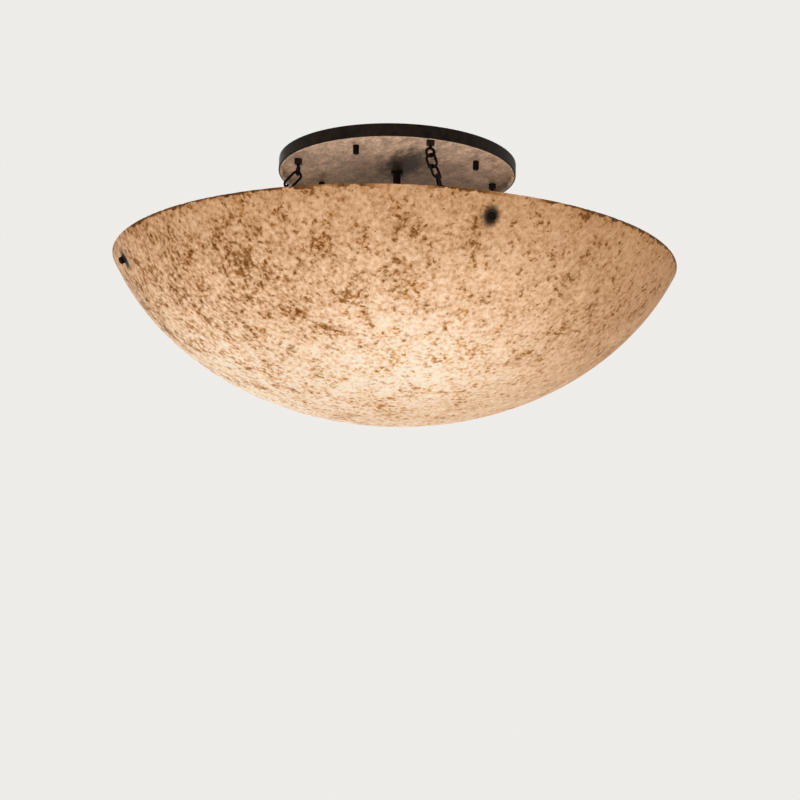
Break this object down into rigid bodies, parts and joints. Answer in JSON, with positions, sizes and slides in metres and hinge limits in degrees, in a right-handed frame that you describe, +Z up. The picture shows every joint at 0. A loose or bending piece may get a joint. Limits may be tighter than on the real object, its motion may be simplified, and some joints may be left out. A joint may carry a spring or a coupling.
{
  "type": "semi flush ceiling light",
  "caption": "Wide shallow art glass bowl hung close under a round ceiling pan on chains, a stem and flat arms, with lamps inside.",
  "frame": {"origin": "centre of the ceiling box screws, on the ceiling plane and the light's axis", "axes": "+Z up into the ceiling; the four arms, chains and lamps lie along +X (right), +Y (back), -X (left) and -Y (front)"},
  "size_m": [0.7094, 0.7094, 0.336],
  "materials": {
    "bronze": "hand rubbed dark bronze, satin and slightly streaked",
    "chain_iron": "blackened bronze, satin",
    "zinc": "zinc plated",
    "art_glass": "warm cream art glass with brown flecks, matt outside, lit from inside",
    "bulb_glass": "frosted, lit",
    "brass": "bright",
    "ceramic": "unglazed white",
    "rubber": "matt",
    "plastic": "matt",
    "nickel": "bright nickel"
  },
  "bodies": {
    "fixture": {"mounting_plate": "zinc", "ground_screw": "zinc", "ceiling_pan": "bronze", "canopy_studs": "zinc", "upper_eyes": "chain_iron", "upper_eye_nuts": "bronze", "upper_back_nuts": "zinc", "lower_eyes": "chain_iron", "lower_eye_nuts": "chain_iron", "stem": "chain_iron", "stem_nuts": "chain_iron", "hub": "bronze", "hub_washer": "bronze", "arm_screws": "chain_iron", "glass_bowl": "art_glass", "bowl_bolts": "chain_iron", "inner_gaskets": "rubber", "outer_gaskets": "rubber", "cluster_body": "bronze", "cluster_cover": "bronze", "finial": "bronze", "finial_nut": "zinc", "nipples": "zinc", "nipple_nuts": "chain_iron", "screw_shells": "brass", "centre_contacts": "brass", "splice_cap": "plastic", "leads": "plastic", "arm_right": "bronze", "chain_right": "chain_iron", "socket_right": "ceramic", "arm_back": "bronze", "chain_back": "chain_iron", "socket_back": "ceramic", "arm_left": "bronze", "chain_left": "chain_iron", "socket_left": "ceramic", "arm_front": "bronze", "chain_front": "chain_iron", "socket_front": "ceramic"},
    "bulb_right": {"bulb_glass_right": "bulb_glass", "bulb_cap_right": "nickel", "bulb_tip_right": "plastic"},
    "bulb_back": {"bulb_glass_back": "bulb_glass", "bulb_cap_back": "nickel", "bulb_tip_back": "plastic"},
    "bulb_left": {"bulb_glass_left": "bulb_glass", "bulb_cap_left": "nickel", "bulb_tip_left": "plastic"},
    "bulb_front": {"bulb_glass_front": "bulb_glass", "bulb_cap_front": "nickel", "bulb_tip_front": "plastic"},
    "bowl_nut_right": {"bowl_nut_right": "chain_iron"},
    "bowl_nut_back": {"bowl_nut_back": "chain_iron"},
    "bowl_nut_left": {"bowl_nut_left": "chain_iron"},
    "bowl_nut_front": {"bowl_nut_front": "chain_iron"},
    "canopy_nut_back_right": {"canopy_nut_back_right": "chain_iron"},
    "canopy_nut_back_left": {"canopy_nut_back_left": "chain_iron"},
    "canopy_nut_front_left": {"canopy_nut_front_left": "chain_iron"},
    "canopy_nut_front_right": {"canopy_nut_front_right": "chain_iron"}
  },
  "joints": [
    {"name": "bulb_right_out", "type": "slide", "parent": "fixture", "child": "bulb_right", "axis": [1, 0, 0], "range_m": [0, 0.028]},
    {"name": "bulb_back_out", "type": "slide", "parent": "fixture", "child": "bulb_back", "axis": [0, 1, 0], "range_m": [0, 0.028]},
    {"name": "bulb_left_out", "type": "slide", "parent": "fixture", "child": "bulb_left", "axis": [-1, 0, 0], "range_m": [0, 0.028]},
    {"name": "bulb_front_out", "type": "slide", "parent": "fixture", "child": "bulb_front", "axis": [0, -1, 0], "range_m": [0, 0.028]},
    {"name": "bowl_nut_right_turn", "type": "hinge", "parent": "fixture", "child": "bowl_nut_right", "pos_m": [0.34527, 0, -0.16608], "axis": [0.8494, 0, -0.5277], "continuous": true},
    {"name": "bowl_nut_back_turn", "type": "hinge", "parent": "fixture", "child": "bowl_nut_back", "pos_m": [0, 0.34527, -0.16608], "axis": [0, 0.8494, -0.5277], "continuous": true},
    {"name": "bowl_nut_left_turn", "type": "hinge", "parent": "fixture", "child": "bowl_nut_left", "pos_m": [-0.34527, 0, -0.16608], "axis": [-0.8494, 0, -0.5277], "continuous": true},
    {"name": "bowl_nut_front_turn", "type": "hinge", "parent": "fixture", "child": "bowl_nut_front", "pos_m": [0, -0.34527, -0.16608], "axis": [0, -0.8494, -0.5277], "continuous": true},
    {"name": "canopy_nut_back_right_turn", "type": "hinge", "parent": "fixture", "child": "canopy_nut_back_right", "pos_m": [0.07849, 0.07849, -0.015], "axis": [0, 0, 1], "continuous": true},
    {"name": "canopy_nut_back_left_turn", "type": "hinge", "parent": "fixture", "child": "canopy_nut_back_left", "pos_m": [-0.07849, 0.07849, -0.015], "axis": [0, 0, 1], "continuous": true},
    {"name": "canopy_nut_front_left_turn", "type": "hinge", "parent": "fixture", "child": "canopy_nut_front_left", "pos_m": [-0.07849, -0.07849, -0.015], "axis": [0, 0, 1], "continuous": true},
    {"name": "canopy_nut_front_right_turn", "type": "hinge", "parent": "fixture", "child": "canopy_nut_front_right", "pos_m": [0.07849, -0.07849, -0.015], "axis": [0, 0, 1], "continuous": true}
  ]
}
